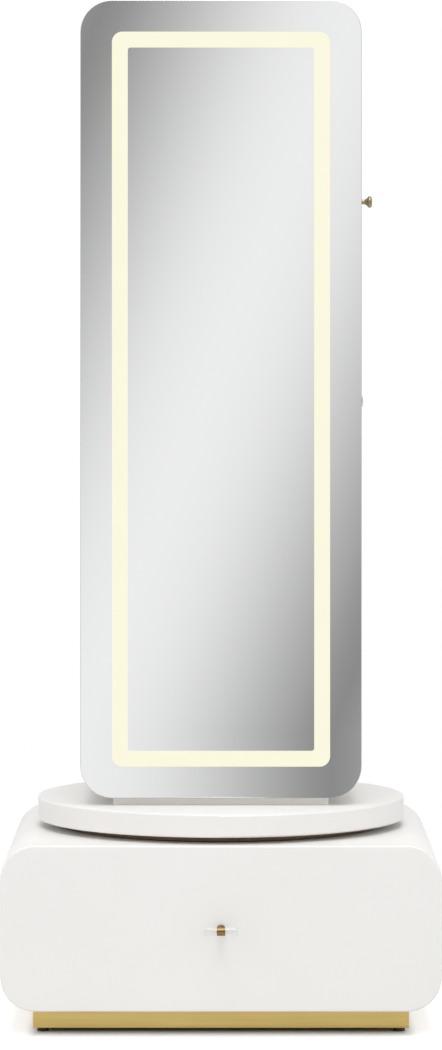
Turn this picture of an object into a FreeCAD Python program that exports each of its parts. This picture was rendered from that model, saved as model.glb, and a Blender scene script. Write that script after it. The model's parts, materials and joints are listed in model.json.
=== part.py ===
import FreeCAD, Part
import math
import os
import Sketcher
from types import SimpleNamespace

# Full-length mirror cabinet on a round turntable over a one-drawer base.
# Millimetres, +Z up, the mirror faces -Y, the floor is Z = 0.
# The part is centred on the Z axis over its whole depth, drawer pull included.

SIZES = [
    # base and plinth
    ("base_width", 680), ("base_depth", 612), ("base_height", 255.5), ("base_corner", 54), ("base_wall", 18),
    ("base_edge", 2), ("back_thick", 8), ("back_recess", 2), ("panel_clear", 0.2),
    ("plinth_inset", 49), ("plinth_setback", 40), ("plinth_height", 31), ("plinth_bar", 30),
    ("plinth_edge", 0.6), ("glide_dia", 18), ("glide_height", 6),
    # drawer
    ("front_thick", 20), ("front_gap", 2), ("front_edge", 3),
    ("drawer_back_gap", 102), ("drawer_height", 150), ("drawer_wall", 12), ("drawer_lift", 24),
    ("drawer_edge", 1.5), ("tray_thick", 6), ("tray_lift", 10),
    # drawer slides
    ("slide_thick", 12.7), ("slide_height", 45), ("slide_setback", 26),
    ("slide_sheet", 1.5), ("slide_clear", 0.6),
    # drawer pull
    ("pull_standoff", 30), ("pull_sleeve_dia", 12.9), ("pull_sleeve_length", 12.8), ("pull_rod_dia", 12.2),
    ("pull_rod_length", 50.8), ("pull_rod_edge", 1), ("pull_spigot_dia", 7), ("pull_spigot_length", 4.5),
    ("pull_rose_dia", 13.4), ("pull_rose_thick", 3), ("pull_post_dia", 9), ("pull_taper", 3),
    ("pull_screw_dia", 4), ("pull_screw_head_dia", 8),
    ("pull_screw_head_thick", 2.5), ("pull_screw_grip", 12),
    # turntable and its ball bearing
    ("disc_dia", 586), ("disc_thick", 36), ("disc_edge", 3), ("bearing_gap", 10.5), ("bearing_radius", 140),
    ("ring_width", 15), ("ring_gap", 2), ("ring_clear", 1), ("ball_dia", 5), ("cage_wall", 1),
    ("skirt_setback", 34), ("skirt_width", 30), ("skirt_clear", 2),
    # foot between the turntable and the cabinet
    ("foot_width", 338), ("foot_depth", 298), ("foot_height", 13),
    ("bolt_dia", 8), ("bolt_head_dia", 13), ("bolt_head_thick", 8), ("bolt_sink", 9), ("bolt_grip", 11),
    ("bolt_across", 120), ("bolt_setback", 59),
    # mirror glass and its lit band
    ("glass_width", 441.5), ("glass_height", 1252.5), ("glass_corner", 50.6),
    ("glass_thick", 5), ("glass_bevel", 0.8),
    ("band_inset", 49.5), ("band_width", 25), ("band_corner", 16.5),
    ("band_inner_corner", 4), ("band_thick", 2.5),
    # cabinet and door
    ("case_inset", 1.5), ("case_depth", 286), ("case_wall", 15), ("door_depth", 35), ("door_wall", 18),
    ("door_panel_thick", 6), ("seam", 4), ("seam_ease", 4),
    # hinges
    ("hinge_length", 60), ("hinge_pitch", 470), ("leaf_width", 10.5), ("leaf_thick", 1.5),
    ("knuckle_dia", 6), ("hinge_pin_dia", 3), ("pivot_inset", 3.2), ("knuckle_clear", 0.4),
    # shelves and hooks
    ("shelf_thick", 12), ("shelf_depth", 245), ("shelf_space_height", 258), ("shelf_clear", 0.4),
    ("shelf_edge", 1.5), ("shelf_pin_dia", 5), ("shelf_pin_length", 16), ("shelf_pin_edge", 30),
    ("rail_width", 320), ("rail_height", 24), ("rail_thick", 10), ("rail_drop", 50), ("rail_edge", 2),
    ("hook_pitch", 44), ("hook_reach", 30), ("hook_dia", 5), ("hook_tip_dia", 10), ("hook_tip_thick", 4),
    # lights in the door
    ("strip_width", 10), ("strip_thick", 1.5),
    ("pack_width", 150), ("pack_height", 70), ("pack_thick", 18), ("pack_rise", 160),
    ("sensor_width", 40), ("sensor_height", 30), ("sensor_thick", 3), ("sensor_rise", 110),
    ("port_width", 14), ("port_height", 8), ("port_depth", 14), ("port_rim", 3), ("port_rim_thick", 1.5),
    ("port_wall", 1.5), ("port_rise", 110),
    # side knob
    ("knob_rose_dia", 10.8), ("knob_rose_thick", 1.6), ("knob_neck_dia", 7.4), ("knob_neck_length", 4.8),
    ("knob_flare_length", 5.2), ("knob_flare_radius", 9), ("knob_shoulder_dia", 14.8),
    ("knob_dome_length", 3.1), ("knob_dome_radius", 3.6), ("knob_head_dia", 18.4),
    ("knob_crown_length", 3.6), ("knob_crown_radius", 3.8), ("knob_face_dia", 13.2),
    ("knob_stud_dia", 4), ("knob_stud_length", 12), ("knob_drop", 315),
    # lock and catch
    ("lock_setback", 30), ("lock_drop", 5), ("lock_flange_dia", 21), ("lock_flange_thick", 5.4),
    ("lock_barrel_dia", 16), ("lock_barrel_length", 22), ("lock_plug_dia", 10), ("lock_nut_dia", 22),
    ("lock_nut_thick", 3), ("key_slot_width", 1.4), ("key_slot_height", 6), ("key_slot_depth", 8),
    ("cam_length", 22), ("cam_width", 10), ("cam_thick", 2), ("cam_gap", 0.3),
    ("cam_screw_dia", 4), ("cam_screw_head_dia", 7), ("cam_screw_head_thick", 2), ("cam_screw_grip", 6),
    ("keeper_width", 6), ("keeper_sheet", 2), ("keeper_lift", 4), ("keeper_tab", 22), ("keeper_room", 3),
    ("keeper_drop", 9),
    ("magnet_width", 14), ("magnet_depth", 18), ("magnet_height", 40), ("magnet_gap", 0.3),
    ("magnet_drop", 140),
    ("plate_thick", 2),
    # running and seating clearances
    ("running_fit", 0.05), ("screw_fit", 0.1),
]

SHELF_COUNT = 3
BALL_COUNT = 18
HOOK_COUNT = 7

doc = FreeCAD.newDocument("mirror_cabinet")
sheet = doc.addObject("Spreadsheet::Sheet", "Dims")
for row, (name, value) in enumerate(SIZES, 1):
    sheet.set(f"A{row}", name)
    sheet.set(f"B{row}", str(value))
    sheet.setAlias(f"B{row}", name)
doc.recompute()


class Size:
    """A length, held as a number and as the sheet expression that drives it."""

    def __init__(self, value, text):
        self.value = value
        self.text = text

    def __add__(self, other):
        other = size(other)
        return Size(self.value + other.value, f"({self.text} + {other.text})")

    def __sub__(self, other):
        other = size(other)
        return Size(self.value - other.value, f"({self.text} - {other.text})")

    def __mul__(self, other):
        other = size(other)
        return Size(self.value * other.value, f"({self.text} * {other.text})")

    def __truediv__(self, other):
        other = size(other)
        return Size(self.value / other.value, f"({self.text} / {other.text})")

    def __radd__(self, other):
        return size(other) + self

    def __rsub__(self, other):
        return size(other) - self

    def __rmul__(self, other):
        return size(other) * self

    def __neg__(self):
        return size(0) - self


def size(item):
    return item if isinstance(item, Size) else Size(float(item), f"({float(item):.9f})")


d = SimpleNamespace(**{name: Size(float(sheet.get(name)), f"Dims.{name}") for name, value in SIZES})
parts = []


def finish(item, label):
    """Marks an object as a finished piece under its own label."""
    item.Label = label
    parts.append(item)
    return item


def bind(item, prop, length):
    item.setExpression(prop, size(length).text)


TURNED = {
    "z": FreeCAD.Rotation(),
    "x": FreeCAD.Rotation(FreeCAD.Vector(0, 1, 0), 90),
    "y": FreeCAD.Rotation(FreeCAD.Vector(1, 0, 0), -90),
    "-y": FreeCAD.Rotation(FreeCAD.Vector(1, 0, 0), 90),
    "-x": FreeCAD.Rotation(FreeCAD.Vector(0, 1, 0), -90),
}


def place(item, at, direction="z", spin=0):
    """Puts an object at a point, with its own Z axis along a direction, or spun about Z by degrees."""
    turn = FreeCAD.Rotation(FreeCAD.Vector(0, 0, 1), spin)
    item.Placement = FreeCAD.Placement(FreeCAD.Vector(), turn.multiply(TURNED[direction]))
    for axis, length in zip("xyz", at):
        bind(item, f"Placement.Base.{axis}", length)
    return item


def box(name, extent, at):
    item = doc.addObject("Part::Box", name)
    for prop, length in zip(("Length", "Width", "Height"), extent):
        bind(item, prop, length)
    return place(item, at)


def rod(name, radius, length, at, direction="z"):
    item = doc.addObject("Part::Cylinder", name)
    bind(item, "Radius", radius)
    bind(item, "Height", length)
    return place(item, at, direction)


def group(name, items):
    item = doc.addObject("Part::Compound", name)
    item.Links = items
    return item


def cut(name, base, tools):
    item = doc.addObject("Part::Cut", name)
    item.Base = base
    item.Tool = tools[0] if len(tools) == 1 else group(f"{name}_tools", tools)
    return item


def join(name, items):
    item = doc.addObject("Part::MultiFuse", name)
    item.Shapes = items
    return item


def new_sketch(body, role, name):
    sketch = body.newObject("Sketcher::SketchObject", name)
    plane = [item for item in body.Origin.OriginFeatures if item.Role == role][0]
    sketch.AttachmentSupport = (plane, "")
    sketch.MapMode = "FlatFace"
    return sketch


def fix_point(sketch, geometry, position, x, y):
    for kind, length in (("DistanceX", size(x)), ("DistanceY", size(y))):
        index = sketch.addConstraint(Sketcher.Constraint(kind, -1, 1, geometry, position, length.value))
        bind(sketch, f"Constraints[{index}]", length)


def fix_radius(sketch, geometry, radius):
    index = sketch.addConstraint(Sketcher.Constraint("Radius", geometry, radius.value))
    bind(sketch, f"Constraints[{index}]", radius)


def draw_outline(sketch, width, height, corner):
    """A rounded rectangle about the sketch origin: four corner arcs joined by tangent lines."""
    arcs = []
    centres = []
    for turn, (side_x, side_y) in enumerate(((1, 1), (-1, 1), (-1, -1), (1, -1))):
        x = side_x * (width / 2 - corner)
        y = side_y * (height / 2 - corner)
        circle = Part.Circle(FreeCAD.Vector(x.value, y.value, 0), FreeCAD.Vector(0, 0, 1), corner.value)
        start = turn * math.pi / 2
        arcs.append(sketch.addGeometry(Part.ArcOfCircle(circle, start, start + math.pi / 2), False))
        centres.append((x, y))
    for here in range(4):
        after = arcs[(here + 1) % 4]
        ends = (sketch.Geometry[arcs[here]].EndPoint, sketch.Geometry[after].StartPoint)
        line = sketch.addGeometry(Part.LineSegment(*ends), False)
        sketch.addConstraint(Sketcher.Constraint("Tangent", arcs[here], 2, line, 1))
        sketch.addConstraint(Sketcher.Constraint("Tangent", line, 2, after, 1))
    for arc, (x, y) in zip(arcs, centres):
        fix_point(sketch, arc, 3, x, y)
        fix_radius(sketch, arc, corner)


def draw_profile(sketch, points):
    """A closed profile. A point is (x, y), or (x, y, radius) when an arc leads to it.

    A positive radius turns left along the way, a negative one right.
    """
    corners = [(size(point[0]), size(point[1])) for point in points]
    ways = []
    for here, point in enumerate(points):
        back = FreeCAD.Vector(corners[here - 1][0].value, corners[here - 1][1].value, 0)
        tip = FreeCAD.Vector(corners[here][0].value, corners[here][1].value, 0)
        if len(point) == 2:
            ways.append((sketch.addGeometry(Part.LineSegment(back, tip), False), 1, 2))
            continue
        radius = size(point[2])
        left = radius.value > 0
        half = (tip - back) * 0.5
        rise = math.sqrt(max(radius.value ** 2 - half.Length ** 2, 0))
        side = FreeCAD.Vector(-half.y, half.x, 0).normalize() * (rise if left else -rise)
        centre = back + half + side
        angles = [math.atan2((end - centre).y, (end - centre).x) for end in (back, tip)]
        if not left:
            angles.reverse()
        if angles[1] < angles[0]:
            angles[1] += 2 * math.pi
        circle = Part.Circle(centre, FreeCAD.Vector(0, 0, 1), abs(radius.value))
        arc = sketch.addGeometry(Part.ArcOfCircle(circle, *angles), False)
        fix_radius(sketch, arc, radius if left else -radius)
        ways.append((arc, 1, 2) if left else (arc, 2, 1))
    for here, (geometry, start, end) in enumerate(ways):
        after = ways[(here + 1) % len(ways)]
        sketch.addConstraint(Sketcher.Constraint("Coincident", geometry, end, after[0], after[1]))
        fix_point(sketch, geometry, end, *corners[here])


def pad(body, sketch, length, reverse=True):
    feature = body.newObject("PartDesign::Pad", f"{body.Name}_pad")
    feature.Profile = sketch
    feature.Reversed = reverse
    bind(feature, "Length", length)
    doc.recompute()
    return feature


def plate(name, width, height, corner, thick, at, opening=None):
    """A rounded upright plate that runs back along +Y. An opening is (width, height, corner)."""
    body = doc.addObject("PartDesign::Body", name)
    sketch = new_sketch(body, "XZ_Plane", f"{name}_outline")
    draw_outline(sketch, width, height, corner)
    if opening:
        draw_outline(sketch, *opening)
    pad(body, sketch, thick)
    return place(body, at)


def frame(name, width, height, corner, wall, thick, at):
    inner = (width - 2 * wall, height - 2 * wall, corner - wall)
    return plate(name, width, height, corner, thick, at, inner)


def rim(shape, depth):
    """Names of the outer edges of the flat face at the given depth along Y."""
    for face in shape.Faces:
        if all(abs(vertex.Point.y - depth) < 1e-6 for vertex in face.Vertexes):
            loop = face.OuterWire.Edges
            return [f"Edge{index}" for index, edge in enumerate(shape.Edges, 1)
                    if any(edge.isSame(other) for other in loop)]
    raise RuntimeError("no flat face at that depth")


def ease(body, kind, depth, amount):
    """Rounds (Fillet) or bevels (Chamfer) the rim of a plate at a depth along Y."""
    base = body.Tip
    names = rim(base.Shape, depth.value)
    feature = body.newObject(f"PartDesign::{kind}", f"{body.Name}_{kind.lower()}")
    feature.Base = (base, names)
    bind(feature, "Radius" if kind == "Fillet" else "Size", amount)
    doc.recompute()
    return body


def board(name, extent, at, face, edge):
    """A straight board with all the edges of one face rounded. The face is named by its outward direction."""
    body = doc.addObject("PartDesign::Body", name)
    block = body.newObject("PartDesign::AdditiveBox", f"{name}_block")
    for prop, length in zip(("Length", "Width", "Height"), extent):
        bind(block, prop, length)
    doc.recompute()
    way = FreeCAD.Vector(*face)
    loop = max(block.Shape.Faces, key=lambda item: item.CenterOfMass.dot(way)).Edges
    names = [f"Edge{index}" for index, item in enumerate(block.Shape.Edges, 1)
             if any(item.isSame(other) for other in loop)]
    feature = body.newObject("PartDesign::Fillet", f"{name}_edge")
    feature.Base = (block, names)
    bind(feature, "Radius", edge)
    return place(body, at)


def turned(name, points, at, direction="z"):
    """A piece turned about its own Z axis from a profile of (radius, height) points."""
    body = doc.addObject("PartDesign::Body", name)
    sketch = new_sketch(body, "XZ_Plane", f"{name}_profile")
    draw_profile(sketch, points)
    feature = body.newObject("PartDesign::Revolution", f"{name}_turn")
    feature.Profile = sketch
    feature.ReferenceAxis = (sketch, ["V_Axis"])
    feature.Angle = 360
    return place(body, at, direction)


def section(name, points, length, at, role="XZ_Plane", reverse=True):
    """A straight piece with a constant section."""
    body = doc.addObject("PartDesign::Body", name)
    sketch = new_sketch(body, role, f"{name}_section")
    draw_profile(sketch, points)
    pad(body, sketch, length, reverse)
    return place(body, at)


# Shared places
pull_reach = d.pull_standoff + d.pull_sleeve_dia / 2
axis_y = pull_reach / 2
base_front = axis_y - d.base_depth / 2
base_back = axis_y + d.base_depth / 2
base_z = d.glide_height + d.plinth_height
base_mid = base_z + d.base_height / 2
base_top = base_z + d.base_height
shell_front = base_front + d.front_thick + d.front_gap
disc_z = base_top + d.bearing_gap
disc_top = disc_z + d.disc_thick
case_z = disc_top + d.foot_height
case_width = d.glass_width - 2 * d.case_inset
case_height = d.glass_height - 2 * d.case_inset
case_corner = d.glass_corner - d.case_inset
case_mid = case_z + case_height / 2
case_top = case_z + case_height
unit_depth = d.glass_thick + d.door_depth + d.seam + d.case_depth
glass_front = axis_y - unit_depth / 2
door_front = glass_front + d.glass_thick
door_back = door_front + d.door_depth
case_front = door_back + d.seam
case_back = case_front + d.case_depth
pivot_x = d.pivot_inset - case_width / 2
pivot_y = door_back + d.seam / 2
case_panel = case_back - d.back_recess - d.back_thick
base_panel = base_back - d.back_recess - d.back_thick
drawer_y = base_front + d.front_thick
drawer_length = base_panel - d.drawer_back_gap - drawer_y

# Plinth on four glides
plinth_width = d.base_width - 2 * d.plinth_inset
plinth_depth = d.base_depth - 2 * d.plinth_setback
glide_x = (plinth_width - d.plinth_bar) / 2
glide_y = (plinth_depth - d.plinth_bar) / 2
glides = [rod(f"glide_{index}", d.glide_dia / 2, d.glide_height, (side * glide_x, axis_y + end * glide_y, 0))
          for index, (side, end) in enumerate(((-1, -1), (1, -1), (-1, 1), (1, 1)))]
finish(group("glides", glides), "floor_glides")
long_board = (plinth_width, d.plinth_bar, d.plinth_height)
short_board = (d.plinth_bar, plinth_depth - 2 * d.plinth_bar, d.plinth_height)
plinth_left = -plinth_width / 2
plinth_front = axis_y - plinth_depth / 2
plinth_rear = plinth_front + plinth_depth - d.plinth_bar
plinth_side = plinth_width / 2 - d.plinth_bar
for label, extent, left, near, outward in (
        ("plinth_front", long_board, plinth_left, plinth_front, (0, -1, 0)),
        ("plinth_back", long_board, plinth_left, plinth_rear, (0, 1, 0)),
        ("plinth_left", short_board, plinth_left, plinth_front + d.plinth_bar, (-1, 0, 0)),
        ("plinth_right", short_board, plinth_side, plinth_front + d.plinth_bar, (1, 0, 0))):
    finish(board(f"{label}_board", extent, (left, near, d.glide_height), outward, d.plinth_edge), label)

# Base: a rounded tube with a back panel
shell_length = d.base_depth - d.front_thick - d.front_gap
shell = frame("shell", d.base_width, d.base_height, d.base_corner, d.base_wall, shell_length,
              (0, shell_front, base_mid))
finish(ease(shell, "Fillet", shell_length, d.base_edge), "base_shell")
loss = 2 * d.base_wall + 2 * d.panel_clear
finish(plate("shell_back", d.base_width - loss, d.base_height - loss, d.base_corner - loss / 2, d.back_thick,
             (0, base_panel, base_mid)), "base_back_panel")

# Drawer slides: three nested channels each side, on the tube's side walls
wall_x = d.base_width / 2 - d.base_wall
slide_y = shell_front + d.front_gap
slide_length = drawer_y + drawer_length - d.slide_setback - slide_y
step = d.slide_sheet + d.slide_clear


def channel(name, side, back, tip, half):
    """A channel whose web stands at `back` from the side wall and whose flanges reach to `tip`."""
    inward = d.slide_sheet if tip.value > back.value else -d.slide_sheet
    outline = [(back, -half), (tip, -half), (tip, d.slide_sheet - half),
               (back + inward, d.slide_sheet - half), (back + inward, half - d.slide_sheet),
               (tip, half - d.slide_sheet), (tip, half), (back, half)]
    points = [(side * (wall_x - across), up) for across, up in outline]
    return section(name, points, slide_length, (0, slide_y, base_mid))


half_slide = d.slide_height / 2
for label, back, tip, half in (
        ("slide_cabinet_members", size(0), d.slide_thick - step, half_slide),
        ("slide_middle_members", step, d.slide_thick - step, half_slide - step),
        ("slide_drawer_members", d.slide_thick, 2 * step, half_slide - 2 * step)):
    pair = [channel(f"{label}_{index}", side, back, tip, half) for index, side in enumerate((-1, 1))]
    finish(group(f"{label}_pair", pair), label)

# Drawer: overlay front, box and pull
pull_hole = d.pull_screw_dia / 2 + d.screw_fit
drawer_z = base_z + d.base_wall + d.drawer_lift
drawer_half = wall_x - d.slide_thick
inner_width = 2 * (drawer_half - d.drawer_wall)
front = plate("front", d.base_width, d.base_height, d.base_corner, d.front_thick, (0, base_front, base_mid))
ease(front, "Fillet", size(0), d.front_edge)
front_hole = rod("front_hole", pull_hole, d.front_thick, (0, base_front, base_mid), "y")
finish(cut("front_drilled", front, [front_hole]), "drawer_front")
cross = (inner_width, d.drawer_wall, d.drawer_height)
up = (0, 0, 1)
inner_front = board("inner_front", cross, (-inner_width / 2, drawer_y, drawer_z), up, d.drawer_edge)
finish(cut("inner_front_drilled", inner_front,
           [rod("inner_front_hole", pull_hole, d.drawer_wall, (0, drawer_y, base_mid), "y")]),
           "drawer_inner_front")
finish(board("back_wall", cross, (-inner_width / 2, drawer_y + drawer_length - d.drawer_wall, drawer_z), up,
             d.drawer_edge), "drawer_back_wall")
flank = (d.drawer_wall, drawer_length, d.drawer_height)
for label, left in (("drawer_side_left", -drawer_half), ("drawer_side_right", drawer_half - d.drawer_wall)):
    finish(board(f"{label}_board", flank, (left, drawer_y, drawer_z), up, d.drawer_edge), label)
finish(box("tray", (inner_width, drawer_length - 2 * d.drawer_wall, d.tray_thick),
           (-inner_width / 2, drawer_y + d.drawer_wall, drawer_z + d.tray_lift)), "drawer_bottom")

rose = d.pull_rose_dia / 2
post = d.pull_post_dia / 2
stem = turned("pull_stem", [
    (0, 0), (rose, 0), (rose, d.pull_rose_thick), (post, d.pull_rose_thick + d.pull_taper),
    (post, d.pull_standoff), (0, d.pull_standoff)], (0, base_front, base_mid), "-y")
pull_y = base_front - d.pull_standoff
sleeve = rod("pull_sleeve", d.pull_sleeve_dia / 2, d.pull_sleeve_length,
             (-d.pull_sleeve_length / 2, pull_y, base_mid), "x")
socket = d.pull_spigot_dia / 2 + d.running_fit
sockets = [rod(f"pull_socket_{index}", socket, d.pull_spigot_length + d.running_fit,
               (side * (d.pull_sleeve_length / 2), pull_y, base_mid), way)
           for index, (side, way) in enumerate(((-1, "x"), (1, "-x")))]
thread = rod("pull_thread", pull_hole, d.pull_screw_grip + d.screw_fit, (0, base_front, base_mid), "-y")
finish(cut("pull_casting", join("pull_blank", [stem, sleeve]), sockets + [thread]), "pull_post")
arm = (d.pull_rod_length - d.pull_sleeve_length) / 2
round_rod = d.pull_rod_dia / 2
arm_profile = [
    (0, -d.pull_spigot_length), (d.pull_spigot_dia / 2, -d.pull_spigot_length), (d.pull_spigot_dia / 2, 0),
    (round_rod, 0), (round_rod, arm - d.pull_rod_edge), (round_rod - d.pull_rod_edge, arm, d.pull_rod_edge),
    (0, arm)]
for side, way, label in ((-1, "-x", "pull_rod_left"), (1, "x", "pull_rod_right")):
    finish(turned(f"arm_{way[-2:]}", arm_profile, (side * (d.pull_sleeve_length / 2), pull_y, base_mid),
                  way), label)
grip = d.front_thick + d.drawer_wall
screw = d.pull_screw_dia / 2
finish(turned("pull_fixing", [
    (0, -d.pull_screw_head_thick), (d.pull_screw_head_dia / 2, -d.pull_screw_head_thick),
    (d.pull_screw_head_dia / 2, 0), (screw, 0), (screw, grip + d.pull_screw_grip),
    (0, grip + d.pull_screw_grip)],
    (0, drawer_y + d.drawer_wall, base_mid), "-y"), "pull_screw")

# Turntable bearing: two grooved rings with caged balls between them
ring_height = d.bearing_gap - d.ring_clear
ball_z = base_top + d.bearing_gap / 2


def race(name, inner, low):
    ring = turned(f"{name}_blank", [
        (inner, 0), (inner + d.ring_width, 0), (inner + d.ring_width, ring_height), (inner, ring_height)],
        (0, axis_y, base_top + low))
    groove = doc.addObject("Part::Torus", f"{name}_groove")
    bind(groove, "Radius1", d.bearing_radius)
    bind(groove, "Radius2", d.ball_dia / 2 + d.running_fit)
    return cut(name, ring, [place(groove, (0, axis_y, ball_z))])


finish(race("outer_race", d.bearing_radius + d.ring_gap / 2, size(0)), "bearing_base_ring")
finish(race("inner_race", d.bearing_radius - d.ring_gap / 2 - d.ring_width, d.ring_clear), "bearing_top_ring")
cage_in = d.bearing_radius - d.cage_wall / 2
cage_low = 1.5 * d.ring_clear
cage_high = d.bearing_gap - cage_low
pocket_low = d.bearing_gap / 2 - d.ball_dia / 2 - d.running_fit
pocket = (3 * d.cage_wall, d.ball_dia + 2 * d.running_fit, cage_high - pocket_low)
balls = []
pockets = []
for index in range(BALL_COUNT):
    angle = 2 * math.pi * (index + 0.5) / BALL_COUNT
    radial = math.cos(angle), math.sin(angle)
    ball = doc.addObject("Part::Sphere", f"ball_{index}")
    bind(ball, "Radius", d.ball_dia / 2)
    balls.append(place(ball, (d.bearing_radius * radial[0], axis_y + d.bearing_radius * radial[1], ball_z)))
    inner = d.bearing_radius - pocket[0] / 2
    corner = (inner * radial[0] + pocket[1] / 2 * radial[1],
              axis_y + inner * radial[1] - pocket[1] / 2 * radial[0],
              base_top + pocket_low)
    pockets.append(place(box(f"pocket_{index}", pocket, corner), corner, spin=math.degrees(angle)))
finish(group("balls", balls), "bearing_balls")
cage = turned("cage_blank", [
    (cage_in, cage_low), (cage_in + d.cage_wall, cage_low), (cage_in + d.cage_wall, cage_high),
    (cage_in, cage_high)],
    (0, axis_y, base_top))
finish(cut("cage", cage, pockets), "bearing_cage")

# Turntable disc, foot and the four bolts that hold them to the cabinet
disc = d.disc_dia / 2
disc_blank = turned("disc_blank", [
    (0, 0), (disc - d.disc_edge, 0), (disc, d.disc_edge, d.disc_edge), (disc, d.disc_thick - d.disc_edge),
    (disc - d.disc_edge, d.disc_thick, d.disc_edge), (0, d.disc_thick)], (0, axis_y, disc_z))
skirt = disc - d.skirt_setback
finish(turned("skirt_ring", [
    (skirt - d.skirt_width, 0), (skirt, 0), (skirt, d.bearing_gap - d.skirt_clear),
    (skirt - d.skirt_width, d.bearing_gap - d.skirt_clear)],
    (0, axis_y, base_top + d.skirt_clear)), "turntable_skirt")
bolt = d.bolt_dia / 2
bolt_hole = bolt + d.screw_fit
bolt_top = d.disc_thick + d.foot_height + d.bolt_grip
bolts = []
bolt_holes = {"disc": [], "foot": [], "case": []}
for index, (side, end) in enumerate(((-1, -1), (1, -1), (-1, 1), (1, 1))):
    spot = (side * d.bolt_across, axis_y + end * (d.foot_depth / 2 - d.bolt_setback), disc_z)
    bolts.append(turned(f"bolt_{index}", [
        (0, d.bolt_sink - d.bolt_head_thick), (d.bolt_head_dia / 2, d.bolt_sink - d.bolt_head_thick),
        (d.bolt_head_dia / 2, d.bolt_sink), (bolt, d.bolt_sink), (bolt, bolt_top), (0, bolt_top)], spot))
    for key, tools in bolt_holes.items():
        tools.append(rod(f"{key}_bolt_hole_{index}", bolt_hole, bolt_top + d.screw_fit, spot))
    bolt_holes["disc"].append(rod(f"bolt_recess_{index}", d.bolt_head_dia / 2 + d.screw_fit,
                                  d.bolt_sink, spot))
finish(cut("disc", disc_blank, bolt_holes["disc"]), "turntable_disc")
foot = box("foot_blank", (d.foot_width, d.foot_depth, d.foot_height),
           (-d.foot_width / 2, axis_y - d.foot_depth / 2, disc_top))
finish(cut("foot", foot, bolt_holes["foot"]), "cabinet_foot")
finish(group("bolts", bolts), "foot_bolts")

# Hinges: two knuckles on the case leaf, one on the door leaf, about one pin
hinge_gap = d.knuckle_clear
knuckle = d.knuckle_dia / 2
third = d.hinge_length / 3
hinge_notches = {"case": [], "door": []}
leaves = {"case": [], "door": []}
pins = []
for index in (-1, 0, 1):
    tag = f"hinge_{index + 2}"
    low = case_mid + index * d.hinge_pitch - d.hinge_length / 2
    bore = d.hinge_pin_dia / 2 + d.running_fit
    spans = {"case": ((low, third), (low + 2 * third, third)),
             "door": ((low + third + hinge_gap, third - 2 * hinge_gap),)}
    rooms = {"case": ((low + third, third),),
             "door": ((low - hinge_gap, third + 2 * hinge_gap),
                      (low + 2 * third - hinge_gap, third + 2 * hinge_gap))}
    for key, leaf_y in (("case", case_front - d.leaf_thick), ("door", door_back)):
        leaf = box(f"{tag}_{key}_leaf", (d.leaf_width, d.leaf_thick, d.hinge_length), (pivot_x, leaf_y, low))
        barrels = [rod(f"{tag}_{key}_barrel_{number}", knuckle, tall, (pivot_x, pivot_y, start))
                   for number, (start, tall) in enumerate(spans[key])]
        clear = [rod(f"{tag}_{key}_room_{number}", knuckle + d.knuckle_clear, tall, (pivot_x, pivot_y, start))
                 for number, (start, tall) in enumerate(rooms[key])]
        clear.append(rod(f"{tag}_{key}_bore", bore, d.hinge_length, (pivot_x, pivot_y, low)))
        leaves[key].append(cut(f"{tag}_{key}", join(f"{tag}_{key}_blank", [leaf] + barrels), clear))
        hinge_notches[key].append(rod(f"{tag}_{key}_notch", knuckle + d.knuckle_clear,
                                      d.hinge_length + 2 * hinge_gap,
                                      (pivot_x, pivot_y, low - hinge_gap)))
    pins.append(rod(f"{tag}_pin", d.hinge_pin_dia / 2, d.hinge_length, (pivot_x, pivot_y, low)))
finish(group("case_leaves", leaves["case"]), "hinge_case_leaves")
finish(group("door_leaves", leaves["door"]), "hinge_door_leaves")
finish(group("pins", pins), "hinge_pins")

# Shelves on pins
shelf_width = case_width - 2 * d.case_wall - 2 * d.shelf_clear
shelf_y = case_panel - d.shelf_clear - d.shelf_depth
shelf_pins = []
pin_holes = []
for index in range(SHELF_COUNT):
    shelf_z = case_z + d.case_wall + (index + 1) * (d.shelf_space_height + d.shelf_thick) - d.shelf_thick
    finish(board(f"shelf_{index}", (shelf_width, d.shelf_depth, d.shelf_thick),
                 (-shelf_width / 2, shelf_y, shelf_z), (0, -1, 0), d.shelf_edge),
           ("shelf_lower", "shelf_middle", "shelf_upper")[index])
    for side, way in ((-1, "x"), (1, "-x")):
        for along in (shelf_y + d.shelf_pin_edge, shelf_y + d.shelf_depth - d.shelf_pin_edge):
            tag = f"{index}_{len(shelf_pins)}"
            spot = (side * (case_width / 2 - d.case_wall + d.shelf_pin_length / 2), along,
                    shelf_z - d.shelf_pin_dia / 2)
            shelf_pins.append(rod(f"shelf_pin_{tag}", d.shelf_pin_dia / 2, d.shelf_pin_length, spot, way))
            pin_holes.append(rod(f"pin_hole_{tag}", d.shelf_pin_dia / 2 + d.running_fit,
                                 d.shelf_pin_length, spot, way))
finish(group("pegs", shelf_pins), "shelf_pins")

# Necklace hooks on a rail at the back of the tall top space
rail_y = case_panel - d.panel_clear - d.rail_thick
rail_z = case_top - d.case_wall - d.rail_drop - d.rail_height
finish(board("rail", (d.rail_width, d.rail_thick, d.rail_height), (-d.rail_width / 2, rail_y, rail_z),
             (0, -1, 0), d.rail_edge), "hook_rail")
stalk = d.hook_dia / 2
tip = d.hook_tip_dia / 2
hooks = [turned(f"hook_{index}", [
    (0, 0), (stalk, 0), (stalk, d.hook_reach - d.hook_tip_thick), (tip, d.hook_reach - d.hook_tip_thick / 2),
    (tip, d.hook_reach), (0, d.hook_reach)],
    ((index - (HOOK_COUNT - 1) / 2) * d.hook_pitch, rail_y, rail_z + d.rail_height / 2), "-y")
    for index in range(HOOK_COUNT)]
finish(group("hooks", hooks), "necklace_hooks")

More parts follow.
